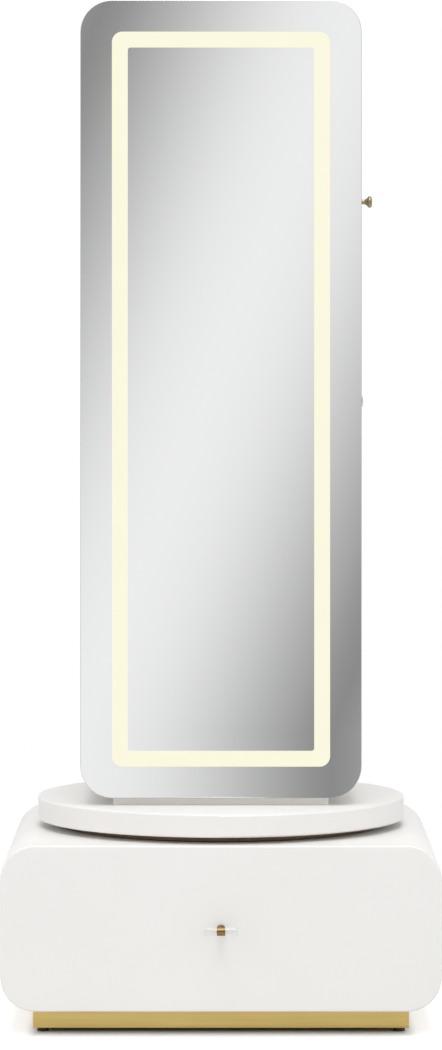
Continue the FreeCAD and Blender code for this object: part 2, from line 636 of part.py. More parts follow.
# Lock through the right side of the case: rest is unlocked, with the cam pointing to the front
lock_x = case_width / 2
lock_y = case_front + d.lock_setback
lock_z = case_mid - d.lock_drop
flange = d.lock_flange_dia / 2
barrel = d.lock_barrel_dia / 2
plug = d.lock_plug_dia / 2
barrel_end = lock_x - d.lock_barrel_length
finish(turned("lock_body", [
    (plug + d.running_fit, -d.lock_barrel_length), (barrel, -d.lock_barrel_length), (barrel, 0), (flange, 0),
    (flange, d.lock_flange_thick / 2), (barrel, d.lock_flange_thick),
    (plug + d.running_fit, d.lock_flange_thick)], (lock_x, lock_y, lock_z), "x"), "lock_barrel")
finish(turned("lock_ring_nut", [
    (barrel + d.screw_fit, 0), (d.lock_nut_dia / 2, 0), (d.lock_nut_dia / 2, d.lock_nut_thick),
    (barrel + d.screw_fit, d.lock_nut_thick)],
    (lock_x - d.case_wall - d.lock_nut_thick, lock_y, lock_z), "x"), "lock_nut")
plug_blank = turned("plug_blank", [
    (0, -d.lock_barrel_length - d.cam_gap), (plug, -d.lock_barrel_length - d.cam_gap),
    (plug, d.lock_flange_thick), (0, d.lock_flange_thick)], (lock_x, lock_y, lock_z), "x")
key_slot = box("key_slot", (d.key_slot_depth, d.key_slot_height, d.key_slot_width),
               (lock_x + d.lock_flange_thick - d.key_slot_depth, lock_y - d.key_slot_height / 2,
                lock_z - d.key_slot_width / 2))
screw_hole = d.cam_screw_dia / 2 + d.screw_fit
cam_x = barrel_end - d.cam_gap - d.cam_thick
plug_thread = rod("plug_thread", screw_hole, d.cam_screw_grip + d.screw_fit,
                  (cam_x + d.cam_thick, lock_y, lock_z), "x")
finish(cut("plug", plug_blank, [key_slot, plug_thread]), "lock_plug")
half_cam = d.cam_width / 2
reach = d.cam_length - half_cam
cam = join("cam_blank", [
    box("cam_bar", (d.cam_thick, reach, d.cam_width), (cam_x, lock_y - reach, lock_z - half_cam)),
    rod("cam_root", half_cam, d.cam_thick, (cam_x, lock_y, lock_z), "x"),
    rod("cam_tip", half_cam, d.cam_thick, (cam_x, lock_y - reach, lock_z), "x")])
finish(cut("cam", cam, [rod("cam_hole", screw_hole, d.cam_thick, (cam_x, lock_y, lock_z), "x")]), "lock_cam")
finish(turned("cam_fixing", [
    (0, -d.cam_screw_head_thick), (d.cam_screw_head_dia / 2, -d.cam_screw_head_thick),
    (d.cam_screw_head_dia / 2, 0),
    (d.cam_screw_dia / 2, 0), (d.cam_screw_dia / 2, d.cam_thick + d.cam_screw_grip),
    (0, d.cam_thick + d.cam_screw_grip)], (cam_x, lock_y, lock_z), "x"), "lock_cam_screw")

# Case: a rounded tube, drilled for the hinges, lock, bolts and shelf pins
case = frame("case", case_width, case_height, case_corner, d.case_wall, d.case_depth,
             (0, case_front, case_mid))
ease(case, "Chamfer", size(0), d.seam_ease)
lock_hole = rod("lock_hole", barrel + d.screw_fit, d.case_wall, (lock_x, lock_y, lock_z), "-x")
finish(cut("case_drilled", case, hinge_notches["case"] + bolt_holes["case"] + pin_holes + [lock_hole]),
       "case_shell")
loss = 2 * d.case_wall + 2 * d.panel_clear
finish(plate("case_back", case_width - loss, case_height - loss, case_corner - loss / 2, d.back_thick,
             (0, case_panel, case_mid)), "case_back_panel")

# Door: frame, back panel, mirror with its inlaid light band
knob_y = door_front + d.door_depth / 2
knob_z = case_top - d.knob_drop
door = frame("door", case_width, case_height, case_corner, d.door_wall, d.door_depth,
             (0, door_front, case_mid))
ease(door, "Chamfer", d.door_depth, d.seam_ease)
stud_hole = rod("stud_hole", d.knob_stud_dia / 2 + d.running_fit, d.knob_stud_length + d.screw_fit,
                (case_width / 2, knob_y, knob_z), "-x")
finish(cut("door_drilled", door, hinge_notches["door"] + [stud_hole]), "door_frame")
panel_y = door_back - d.door_panel_thick
loss = 2 * d.door_wall + 2 * d.panel_clear
door_back_blank = plate("door_back_blank", case_width - loss, case_height - loss, case_corner - loss / 2,
                        d.door_panel_thick, (0, panel_y, case_mid))
port_z = case_z + d.port_rise
port_hole = box("port_hole", (d.port_width + 2 * d.screw_fit, d.door_panel_thick,
                              d.port_height + 2 * d.screw_fit),
                (-d.port_width / 2 - d.screw_fit, panel_y, port_z - d.port_height / 2 - d.screw_fit))
finish(cut("door_back_drilled", door_back_blank, [port_hole]), "door_back_panel")

band_width = d.glass_width - 2 * d.band_inset
band_height = d.glass_height - 2 * d.band_inset


def band(extra):
    """Outer and inner outlines of the light band, grown by a clearance each way."""
    outer = (band_width + 2 * extra, band_height + 2 * extra, d.band_corner + extra)
    inner = (band_width - 2 * d.band_width - 2 * extra, band_height - 2 * d.band_width - 2 * extra,
             d.band_inner_corner - extra)
    return outer, inner


glass = plate("glass", d.glass_width, d.glass_height, d.glass_corner, d.glass_thick,
              (0, glass_front, case_mid))
ease(glass, "Chamfer", size(0), d.glass_bevel)
solid_glass = glass.Tip.Shape.Volume
groove_sketch = new_sketch(glass, "XZ_Plane", "glass_groove_outline")
for outline in band(size(0)):
    draw_outline(groove_sketch, *outline)
groove = glass.newObject("PartDesign::Pocket", "glass_groove")
groove.Profile = groove_sketch
groove.Reversed = False
bind(groove, "Length", d.band_thick)
doc.recompute()
if glass.Tip.Shape.Volume > solid_glass - 1:
    groove.Reversed = True
    doc.recompute()
if glass.Tip.Shape.Volume > solid_glass - 1:
    raise RuntimeError("the light band groove cuts nothing")
finish(glass, "mirror_glass")
outer, inner = band(-d.screw_fit)
finish(plate("band", *outer, d.band_thick, (0, glass_front, case_mid), inner), "light_band")

# Lighting inside the door
spare = (d.band_width - d.strip_width) / 2
finish(plate("strip", band_width - 2 * spare, band_height - 2 * spare, d.band_corner - spare, d.strip_thick,
             (0, panel_y - d.strip_thick, case_mid),
             (band_width - 2 * spare - 2 * d.strip_width, band_height - 2 * spare - 2 * d.strip_width,
              d.band_inner_corner)), "led_strip")
finish(box("cells", (d.pack_width, d.pack_thick, d.pack_height),
           (-d.pack_width / 2, panel_y - d.pack_thick, case_z + d.pack_rise)), "battery_pack")
finish(box("touch", (d.sensor_width, d.sensor_thick, d.sensor_height),
           (-d.sensor_width / 2, door_front, case_z + d.sensor_rise)), "touch_sensor")
port_body = box("port_body", (d.port_width, d.port_depth, d.port_height),
                (-d.port_width / 2, door_back - d.port_depth, port_z - d.port_height / 2))
port_rim = box("port_rim_plate", (d.port_width + 2 * d.port_rim, d.port_rim_thick,
                                  d.port_height + 2 * d.port_rim),
               (-d.port_width / 2 - d.port_rim, door_back, port_z - d.port_height / 2 - d.port_rim))
port_mouth = box("port_mouth", (d.port_width - 2 * d.port_wall, d.port_depth - d.port_wall + d.port_rim_thick,
                                d.port_height - 2 * d.port_wall),
                 (d.port_wall - d.port_width / 2, door_back - d.port_depth + d.port_wall,
                  port_z - d.port_height / 2 + d.port_wall))
finish(cut("port", join("port_blank", [port_body, port_rim]), [port_mouth]), "charge_port")

# Trumpet-shaped side knob
knob_rose = d.knob_rose_dia / 2
neck = d.knob_neck_dia / 2
stud = d.knob_stud_dia / 2
flare_start = d.knob_rose_thick + d.knob_neck_length
flare_end = flare_start + d.knob_flare_length
widest = flare_end + d.knob_dome_length
knob_end = widest + d.knob_crown_length
finish(turned("knob", [
    (0, -d.knob_stud_length), (stud, -d.knob_stud_length), (stud, 0), (knob_rose, 0),
    (knob_rose, d.knob_rose_thick / 2), (neck, d.knob_rose_thick), (neck, flare_start),
    (d.knob_shoulder_dia / 2, flare_end, -d.knob_flare_radius),
    (d.knob_head_dia / 2, widest, d.knob_dome_radius),
    (d.knob_face_dia / 2, knob_end, d.knob_crown_radius), (0, knob_end)],
    (case_width / 2, knob_y, knob_z), "x"), "side_knob")

# Lock keeper: a strap from the door that hooks down behind the raised cam
strap = d.cam_length + d.keeper_lift
hook_y = d.lock_setback + half_cam + d.keeper_room + d.seam
sheet_metal = d.keeper_sheet
finish(section("keeper", [
    (0, strap), (hook_y, strap), (hook_y, strap - d.keeper_drop),
    (hook_y + sheet_metal, strap - d.keeper_drop),
    (hook_y + sheet_metal, strap + sheet_metal), (sheet_metal, strap + sheet_metal),
    (sheet_metal, strap + d.keeper_tab), (0, strap + d.keeper_tab)], d.keeper_width,
    (cam_x + d.cam_thick / 2 - d.keeper_width / 2, door_back, lock_z), "YZ_Plane", False), "lock_keeper")

# Magnetic catch near the top of the closing side
inner_x = case_width / 2 - d.case_wall
magnet_z = case_top - d.magnet_drop
finish(box("magnet", (d.magnet_width, d.magnet_depth, d.magnet_height),
           (inner_x - d.magnet_width, door_back + d.plate_thick + d.magnet_gap, magnet_z)), "magnet_catch")
finish(box("strike", (d.magnet_width, d.plate_thick, d.magnet_height),
           (case_width / 2 - d.door_wall - d.panel_clear - d.magnet_width, door_back, magnet_z)),
           "catch_plate")

doc.recompute()
for item in doc.Objects:
    if {"Invalid", "Error"} & set(item.State):
        raise RuntimeError(f"{item.Name} failed: {item.State}")
for item in parts:
    if item.Shape.isNull() or not item.Shape.isValid():
        raise RuntimeError(f"{item.Label} has no valid shape")
os.makedirs("parts", exist_ok=True)
for item in parts:
    item.Shape.exportStep(f"parts/{item.Label}.step")
print(len(parts), "pieces")
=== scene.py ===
import json
import math

import bmesh
import bpy
from mathutils import Matrix, Vector

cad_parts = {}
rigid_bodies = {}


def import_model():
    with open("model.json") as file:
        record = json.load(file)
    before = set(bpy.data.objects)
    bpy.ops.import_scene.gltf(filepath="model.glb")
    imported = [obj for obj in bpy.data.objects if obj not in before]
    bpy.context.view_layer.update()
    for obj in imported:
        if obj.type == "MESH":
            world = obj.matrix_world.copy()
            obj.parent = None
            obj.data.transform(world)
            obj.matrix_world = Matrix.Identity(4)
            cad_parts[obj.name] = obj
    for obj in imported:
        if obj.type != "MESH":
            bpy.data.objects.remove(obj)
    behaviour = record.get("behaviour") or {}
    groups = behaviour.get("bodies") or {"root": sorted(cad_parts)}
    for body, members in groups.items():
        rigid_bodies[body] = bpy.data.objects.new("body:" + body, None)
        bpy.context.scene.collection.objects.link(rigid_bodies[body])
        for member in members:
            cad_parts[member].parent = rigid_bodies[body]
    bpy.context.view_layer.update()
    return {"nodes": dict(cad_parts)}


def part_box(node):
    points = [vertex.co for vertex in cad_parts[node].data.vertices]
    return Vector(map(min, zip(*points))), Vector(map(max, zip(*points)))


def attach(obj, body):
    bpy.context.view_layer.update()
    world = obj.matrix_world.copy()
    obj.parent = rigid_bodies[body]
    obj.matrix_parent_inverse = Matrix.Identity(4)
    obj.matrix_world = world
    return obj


for leftover in list(bpy.data.objects):
    bpy.data.objects.remove(leftover)
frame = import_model()
nodes = frame["nodes"]
scene = bpy.context.scene


# Materials: every pattern is laid out in metres on the part itself
class Recipe:
    """A material's node tree, with short calls for the nodes used below."""

    def __init__(self, name):
        self.material = bpy.data.materials.new(name)
        self.material.use_nodes = True
        self.tree = self.material.node_tree
        self.shader = self.tree.nodes["Principled BSDF"]
        self.seat = self.tree.nodes.new("ShaderNodeTexCoord")

    def set(self, **values):
        for name, value in values.items():
            self.shader.inputs[name.replace("_", " ")].default_value = value

    def use(self, name, socket):
        self.tree.links.new(socket, self.shader.inputs[name])

    def feed(self, socket, value):
        """Links a socket to another node's output, or sets it to a plain value."""
        if isinstance(value, bpy.types.NodeSocket):
            self.tree.links.new(value, socket)
        else:
            socket.default_value = value

    def make(self, kind, output, **inputs):
        """Adds a node, feeds its inputs by name, and returns one of its outputs."""
        node = self.tree.nodes.new(kind)
        for name, value in inputs.items():
            self.feed(node.inputs[name.replace("_", " ")], value)
        return node.outputs[output]

    def place(self, stretch=(1, 1, 1), start=(0, 0, 0)):
        return self.make("ShaderNodeMapping", "Vector", Vector=self.seat.outputs["Object"], Scale=stretch,
                         Location=start)

    def noise(self, place, scale, detail=3.0, rough=0.5):
        return self.make("ShaderNodeTexNoise", "Fac", Vector=place, Scale=scale, Detail=detail,
                         Roughness=rough)

    def span(self, value, low, high, start=0.3, end=0.7):
        """Maps start and end, by default the usual spread of a pattern, onto low and high."""
        return self.make("ShaderNodeMapRange", "Result", Value=value, From_Min=start, From_Max=end,
                         To_Min=low, To_Max=high)

    def calc(self, kind, first, second=0):
        node = self.tree.nodes.new("ShaderNodeMath")
        node.operation = kind
        for socket, value in zip(node.inputs, (first, second)):
            self.feed(socket, value)
        return node.outputs["Value"]

    def mixed(self, first, second, share):
        """The sum of two patterns, of which the first has the given share."""
        return self.calc("ADD", self.calc("MULTIPLY", first, share), self.calc("MULTIPLY", second, 1 - share))

    def split(self, vector):
        node = self.tree.nodes.new("ShaderNodeSeparateXYZ")
        self.tree.links.new(vector, node.inputs["Vector"])
        return node.outputs

    def blend(self, factor, first, second):
        node = self.tree.nodes.new("ShaderNodeMix")
        node.data_type = "RGBA"
        self.tree.links.new(factor, node.inputs["Factor"])
        for socket, colour in zip((node.inputs[6], node.inputs[7]), (first, second)):
            socket.default_value = (*colour, 1)
        return node.outputs[2]

    def bump(self, height, strength, distance=0.0003):
        self.use("Normal", self.make("ShaderNodeBump", "Normal", Strength=strength, Distance=distance,
                                     Height=height))


def lacquer(name, pale, deep):
    """Sprayed satin lacquer: a faint mottle and a fine orange-peel surface."""
    recipe = Recipe(name)
    place = recipe.place()
    mottle = recipe.noise(place, scale=4, detail=5)
    recipe.use("Base Color", recipe.blend(recipe.span(mottle, 0, 1), pale, deep))
    recipe.use("Roughness", recipe.span(recipe.noise(place, scale=55, detail=4), 0.38, 0.5))
    recipe.bump(recipe.noise(place, scale=650, detail=2), strength=0.06)
    return recipe.material


def fibreboard(name, pale, deep):
    """Bare pressed board: matted fibres in two browns, with a rough open surface."""
    recipe = Recipe(name)
    fibres = recipe.noise(recipe.place(), scale=420, detail=6)
    recipe.use("Base Color", recipe.blend(recipe.span(fibres, 0, 1, start=0.35, end=0.65), pale, deep))
    recipe.use("Roughness", recipe.span(fibres, 0.8, 0.95))
    recipe.bump(fibres, strength=0.25)
    return recipe.material


def foil_board(name, pale, deep):
    """Printed foil on board, with a faint linen weave."""
    recipe = Recipe(name)
    across = recipe.noise(recipe.place((1, 60, 60)), scale=22, detail=2)
    along = recipe.noise(recipe.place((60, 1, 60)), scale=22, detail=2)
    weave = recipe.calc("ADD", across, along)
    recipe.use("Base Color", recipe.blend(recipe.span(weave, 0, 1, start=0.7, end=1.3), pale, deep))
    recipe.use("Roughness", recipe.span(weave, 0.42, 0.6, start=0.7, end=1.3))
    recipe.bump(weave, strength=0.15)
    return recipe.material


def brushed(name, pale, deep, stretch, low, high):
    """Metal with fine lines along the direction whose stretch is smallest, rough from low to high."""
    recipe = Recipe(name)
    lines = recipe.noise(recipe.place(stretch), scale=600, detail=4, rough=0.6)
    cloud = recipe.noise(recipe.place(), scale=9)
    tone = recipe.mixed(lines, cloud, share=0.6)
    recipe.use("Base Color", recipe.blend(recipe.span(tone, 0, 1), pale, deep))
    recipe.use("Roughness", recipe.span(lines, low, high))
    recipe.bump(lines, strength=0.05)
    recipe.set(Metallic=1.0)
    return recipe.material


def turned(name, pale, deep, centre, flatten, low, high):
    """Metal with fine circular lines about an axis through the centre; flatten drops the axis direction."""
    recipe = Recipe(name)
    start = [-away * keep for away, keep in zip(centre, flatten)]
    node = recipe.tree.nodes.new("ShaderNodeVectorMath")
    node.operation = "LENGTH"
    recipe.tree.links.new(recipe.place(flatten, start), node.inputs[0])
    rings = recipe.tree.nodes.new("ShaderNodeTexNoise")
    rings.noise_dimensions = "1D"
    rings.inputs["Scale"].default_value = 900
    recipe.tree.links.new(node.outputs["Value"], rings.inputs["W"])
    lines = rings.outputs["Fac"]
    recipe.use("Base Color", recipe.blend(recipe.span(lines, 0, 1), pale, deep))
    recipe.use("Roughness", recipe.span(lines, low, high))
    recipe.bump(lines, strength=0.08)
    recipe.set(Metallic=1.0)
    return recipe.material


def plated(name, pale, deep, low, high):
    """Zinc-plated steel: soft clouds in the plating over the fine grain of the rolled sheet."""
    recipe = Recipe(name)
    place = recipe.place()
    cloud = recipe.noise(place, scale=110, detail=5, rough=0.6)
    grain = recipe.noise(place, scale=1300)
    tone = recipe.mixed(cloud, grain, share=0.7)
    recipe.use("Base Color", recipe.blend(recipe.span(tone, 0, 1), pale, deep))
    recipe.use("Roughness", recipe.span(tone, low, high))
    recipe.bump(grain, strength=0.05)
    recipe.set(Metallic=1.0)
    return recipe.material


def patinated(name, pale, deep, low, high):
    """Aged brass: darker, duller clouds over the bare metal."""
    recipe = Recipe(name)
    place = recipe.place()
    cloud = recipe.noise(place, scale=260, detail=5, rough=0.6)
    recipe.use("Base Color", recipe.blend(recipe.span(cloud, 0, 1, start=0.35, end=0.7), pale, deep))
    recipe.use("Roughness", recipe.span(cloud, low, high))
    recipe.bump(recipe.noise(place, scale=1500), strength=0.04)
    recipe.set(Metallic=1.0)
    return recipe.material


def moulded(name, pale, deep, low, high):
    """Moulded plastic with a fine spark-eroded grain."""
    recipe = Recipe(name)
    place = recipe.place()
    mottle = recipe.noise(place, scale=40, detail=4)
    recipe.use("Base Color", recipe.blend(recipe.span(mottle, 0, 1), pale, deep))
    recipe.use("Roughness", recipe.span(recipe.noise(place, scale=120), low, high))
    recipe.bump(recipe.noise(place, scale=700, detail=2), strength=0.12)
    return recipe.material


def silvered(name):
    """Silvered glass with faint wiping marks; the ground edge is greener and duller."""
    recipe = Recipe(name)
    facing = recipe.calc("ABSOLUTE", recipe.split(recipe.seat.outputs["Normal"])["Y"])
    face = recipe.span(facing, 0, 1, start=0.97, end=0.99)
    recipe.use("Base Color", recipe.blend(face, (0.56, 0.582, 0.574), (0.86, 0.865, 0.865)))
    marks = recipe.noise(recipe.place((1, 1, 0.35)), scale=7, detail=4, rough=0.6)
    ground = recipe.span(face, 0.45, 0, start=0, end=1)
    recipe.use("Roughness", recipe.calc("ADD", recipe.span(marks, 0.004, 0.022), ground))
    recipe.set(Metallic=1.0)
    return recipe.material


def lit(name, colour):
    """A frosted diffuser, lit from behind, very slightly uneven between its light points."""
    recipe = Recipe(name)
    place = recipe.place()
    recipe.use("Emission Strength", recipe.span(recipe.noise(place, scale=30, detail=2), 0.985, 1))
    recipe.use("Roughness", recipe.span(recipe.noise(place, scale=300, detail=2), 0.45, 0.6))
    recipe.bump(recipe.noise(place, scale=900, detail=2), strength=0.05)
    recipe.set(Base_Color=(0.03, 0.03, 0.025, 1), Emission_Color=(*colour, 1), Specular_IOR_Level=0.2)
    return recipe.material


def clear(name):
    """Polished acrylic with faint handling scuffs."""
    recipe = Recipe(name)
    scuff = recipe.noise(recipe.place((0.2, 1, 1)), scale=900)
    recipe.use("Roughness", recipe.span(scuff, 0.0, 0.05, start=0.45, end=0.75))
    recipe.bump(recipe.noise(recipe.place(), scale=500, detail=2), strength=0.01)
    recipe.set(Base_Color=(0.90, 0.905, 0.90, 1), Transmission_Weight=1.0, IOR=1.49)
    return recipe.material


def plinth_brass(name, stretch):
    return brushed(name, (0.615, 0.463, 0.171), (0.545, 0.398, 0.133), stretch, low=0.3, high=0.42)


disc_low, disc_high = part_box("turntable_disc")
disc_axis = (0, (disc_low.y + disc_high.y) / 2, 0)
lock_low, lock_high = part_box("lock_barrel")
lock_centre = (lock_low + lock_high) / 2
# Each slot's pale and deep tone, and for metals and plastics the lowest and highest roughness at the end
looks = {
    "white_lacquer": lacquer("white_lacquer", (0.86, 0.845, 0.825), (0.84, 0.824, 0.803)),
    "drawer_board": foil_board("drawer_board", (0.76, 0.74, 0.70), (0.70, 0.68, 0.64)),
    # The foot's lacquer is paler than the white lacquer to lift the shade the foot stands in under the door:
    # painted light
    "foot_lacquer": lacquer("foot_lacquer", (0.92, 0.89, 0.845), (0.90, 0.87, 0.825)),
    "brass_facing": plinth_brass("brass_facing", (0.01, 1, 1)),
    "bare_board": fibreboard("bare_board", (0.27, 0.175, 0.095), (0.19, 0.12, 0.065)),
    "dark_glide": moulded("dark_glide", (0.03, 0.015, 0.008), (0.02, 0.010, 0.005), 0.4, 0.6),
    "zinc_steel": plated("zinc_steel", (0.66, 0.67, 0.69), (0.56, 0.57, 0.58), 0.25, 0.4),
    "bearing_metal": turned("bearing_metal", (0.66, 0.67, 0.68), (0.55, 0.56, 0.57), disc_axis, (1, 1, 0),
                            0.22, 0.36),
    "cage_plastic": moulded("cage_plastic", (0.70, 0.70, 0.66), (0.64, 0.64, 0.60), 0.4, 0.55),
    "brass": patinated("brass", (0.25, 0.17, 0.075), (0.20, 0.132, 0.055), 0.16, 0.28),
    "antique_brass": patinated("antique_brass", (0.37, 0.31, 0.185), (0.28, 0.225, 0.125), 0.2, 0.32),
    "clear_acrylic": clear("clear_acrylic"),
    "mirror": silvered("mirror"),
    "lit_diffuser": lit("lit_diffuser", (0.935, 0.905, 0.715)),
    "led_board": moulded("led_board", (0.85, 0.82, 0.70), (0.80, 0.77, 0.66), 0.4, 0.55),
    "black_plastic": moulded("black_plastic", (0.022, 0.022, 0.023), (0.015, 0.015, 0.016), 0.35, 0.55),
    "grey_plastic": moulded("grey_plastic", (0.32, 0.32, 0.33), (0.27, 0.27, 0.28), 0.35, 0.5),
    "lock_chrome": turned("lock_chrome", (0.62, 0.63, 0.64), (0.52, 0.53, 0.54), lock_centre, (0, 1, 1),
                          0.1, 0.2),
}
side_brass = plinth_brass("brass_facing_sides", (1, 0.01, 1))
own = {"plinth_left": side_brass, "plinth_right": side_brass}
for name, node in nodes.items():
    slot = node.data.materials[0].name.split(".")[0]
    node.data.materials[0] = own.get(name, looks[slot])
# Clear acrylic lets light through, so the rods don't darken the drawer front behind them
for name in ("pull_rod_left", "pull_rod_right"):
    nodes[name].visible_diffuse = False
    nodes[name].visible_shadow = False


# Small fittings that hold the pieces together
def mesh_object(name, build):
    mesh = bpy.data.meshes.new(name)
    build.to_mesh(mesh)
    build.free()
    item = bpy.data.objects.new(name, mesh)
    scene.collection.objects.link(item)
    return item


def ring_of(build, radius, height, count):
    angles = [2 * math.pi * step / count for step in range(count)]
    return [build.verts.new((radius * math.cos(angle), radius * math.sin(angle), height)) for angle in angles]


def cross_prism(reach, half, low, high):
    """A cross-shaped prism, narrower at its lower end."""
    narrow = 0.75
    corners = []
    for turn in range(4):
        spin = Matrix.Rotation(-turn * math.pi / 2, 2)
        corners += [spin @ Vector(corner) for corner in ((half, reach), (half, half), (reach, half))]
    build = bmesh.new()
    loops = [[build.verts.new((share * corner.x, share * corner.y, height)) for corner in corners]
             for share, height in ((narrow, low), (1, high))]
    build.faces.new(loops[0])
    build.faces.new(reversed(loops[1]))
    for step in range(len(corners)):
        after = (step + 1) % len(corners)
        build.faces.new((loops[0][after], loops[0][step], loops[1][step], loops[1][after]))
    bmesh.ops.recalc_face_normals(build, faces=build.faces)
    return mesh_object("cross_prism", build)


DOME_SIDES = 32
DOME_PROFILE = ((1, 0), (1, 0.3), (0.9, 0.62), (0.72, 0.84), (0.45, 0.96))


def screw_head(radius, height):
    """A domed screw head with a cross recess, seated on the plane z = 0 with its dome along +Z."""
    build = bmesh.new()
    rings = [ring_of(build, radius * out, height * up, DOME_SIDES) for out, up in DOME_PROFILE]
    for lower, upper in zip(rings, rings[1:]):
        for step in range(DOME_SIDES):
            after = (step + 1) % DOME_SIDES
            build.faces.new((lower[step], lower[after], upper[after], upper[step]))
    build.faces.new(rings[-1])
    build.faces.new(reversed(rings[0]))
    dome = mesh_object("screw_head", build)
    tool = cross_prism(reach=0.62 * radius, half=0.13 * radius, low=0.3 * height, high=1.2 * height)
    carve = dome.modifiers.new("recess", "BOOLEAN")
    carve.operation = "DIFFERENCE"
    carve.object = tool
    bpy.context.view_layer.update()
    mesh = bpy.data.meshes.new_from_object(dome.evaluated_get(bpy.context.evaluated_depsgraph_get()))
    for item in (dome, tool):
        bpy.data.objects.remove(item)
    return mesh


SCREW_TURN = 0.7


def fit_screws(name, body, spots, direction, radius, height):
    """One piece with a screw head at every spot, each turned a little differently, riding on a body."""
    head = screw_head(radius, height)
    face = Vector((0, 0, 1)).rotation_difference(Vector(direction)).to_matrix().to_4x4()
    build = bmesh.new()
    for number, spot in enumerate(spots):
        copy = head.copy()
        copy.transform(Matrix.Translation(spot) @ face @ Matrix.Rotation(SCREW_TURN * number, 4, "Z"))
        build.from_mesh(copy)
        bpy.data.meshes.remove(copy)
    bpy.data.meshes.remove(head)
    item = mesh_object(name, build)
    item.data.materials.append(looks["zinc_steel"])
    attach(item, body)


def around(low, high, across, up, inset=0.01):
    """Spots along the four sides of a panel's back face, at shares of its width and height."""
    spots = [(x, high.y, low.z + share * (high.z - low.z)) for share in up
             for x in (low.x + inset, high.x - inset)]
    return spots + [(low.x + share * (high.x - low.x), high.y, z) for share in across
                    for z in (low.z + inset, high.z - inset)]


TO_BACK, TO_FRONT, TO_LEFT = (0, 1, 0), (0, -1, 0), (-1, 0, 0)
low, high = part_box("case_back_panel")
spots = around(low, high, across=(0.3, 0.7), up=(0.06, 0.28, 0.5, 0.72, 0.94))
fit_screws("case_back_screws", "turntable", spots, TO_BACK, radius=0.0035, height=0.0016)
low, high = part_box("base_back_panel")
spots = around(low, high, across=(0.15, 0.5, 0.85), up=(0.25, 0.75))
fit_screws("base_back_screws", "base", spots, TO_BACK, radius=0.0035, height=0.0016)
low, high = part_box("door_back_panel")
spots = around(low, high, across=(0.3, 0.7), up=(0.06, 0.29, 0.47, 0.71, 0.94))
fit_screws("door_back_screws", "door", spots, TO_BACK, radius=0.003, height=0.0012)

low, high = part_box("drawer_inner_front")
spots = [(x, high.y, z) for x in (-0.22, 0.22) for z in (low.z + 0.035, high.z - 0.025)]
fit_screws("drawer_front_screws", "drawer", spots, TO_BACK, radius=0.004, height=0.002)
low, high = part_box("hook_rail")
spots = [(x, low.y, (low.z + high.z) / 2) for x in (-0.15, 0.15)]
fit_screws("hook_rail_screws", "turntable", spots, TO_FRONT, radius=0.0036, height=0.0018)
low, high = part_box("magnet_catch")
spots = [(low.x, (low.y + high.y) / 2, z) for z in (low.z + 0.008, high.z - 0.008)]
fit_screws("magnet_catch_screws", "turntable", spots, TO_LEFT, radius=0.0026, height=0.0014)
low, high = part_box("catch_plate")
spots = [((low.x + high.x) / 2, high.y, z) for z in (low.z + 0.006, high.z - 0.006)]
fit_screws("catch_plate_screws", "door", spots, TO_BACK, radius=0.0022, height=0.0002)

KEEPER_THICK = 0.002
low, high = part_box("lock_keeper")
door_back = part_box("door_frame")[1].y
spots = [((low.x + high.x) / 2, door_back + KEEPER_THICK, z) for z in (high.z - 0.005, high.z - 0.015)]
fit_screws("lock_keeper_screws", "door", spots, TO_BACK, radius=0.002, height=0.0008)

# Hinge screws sit nearly flush in the two leaves, whose faces are a millimetre apart when the door is shut
LEAF_THICK = 0.0015
LEAF_SCREW_INSET = 0.0036
LEAF_SCREW_STEP = 0.022
HINGE_COUNT = 3
HINGE_LENGTH = 0.06
low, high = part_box("hinge_case_leaves")
leaf_spots = []
for step in range(HINGE_COUNT):
    middle = low.z + HINGE_LENGTH / 2 + step * (high.z - low.z - HINGE_LENGTH) / (HINGE_COUNT - 1)
    leaf_spots += [(high.x - LEAF_SCREW_INSET, middle + offset)
                   for offset in (-LEAF_SCREW_STEP, 0, LEAF_SCREW_STEP)]
case_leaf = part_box("case_shell")[0].y - LEAF_THICK
spots = [(x, case_leaf, z) for x, z in leaf_spots]
fit_screws("hinge_case_screws", "turntable", spots, TO_FRONT, radius=0.0024, height=0.0003)
door_leaf = door_back + LEAF_THICK
spots = [(x, door_leaf, z) for x, z in leaf_spots]
fit_screws("hinge_door_screws", "door", spots, TO_BACK, radius=0.0024, height=0.0003)


# Studio: a pale round floor with painted light lifting its shade around the plinth, soft lamps, and a graded
# wall that only reflections see
def background_rays(tree):
    """One for rays that show the background, straight, reflected or through glass, and zero for light."""
    path = tree.nodes.new("ShaderNodeLightPath").outputs
    seen = path["Is Camera Ray"]
    for kind in ("Is Glossy Ray", "Is Transmission Ray"):
        most = tree.nodes.new("ShaderNodeMath")
        most.operation = "MAXIMUM"
        tree.links.new(seen, most.inputs[0])
        tree.links.new(path[kind], most.inputs[1])
        seen = most.outputs["Value"]
    return seen


# Strength of the floor's painted light beside, in front of and far from the plinth, and its share far in
# front
SIDE_PAINTED_LIGHT, FRONT_PAINTED_LIGHT, FAR_PAINTED_LIGHT = 0.52, 0.28, 0.4
FAR_FRONT_SHARE = 0.52


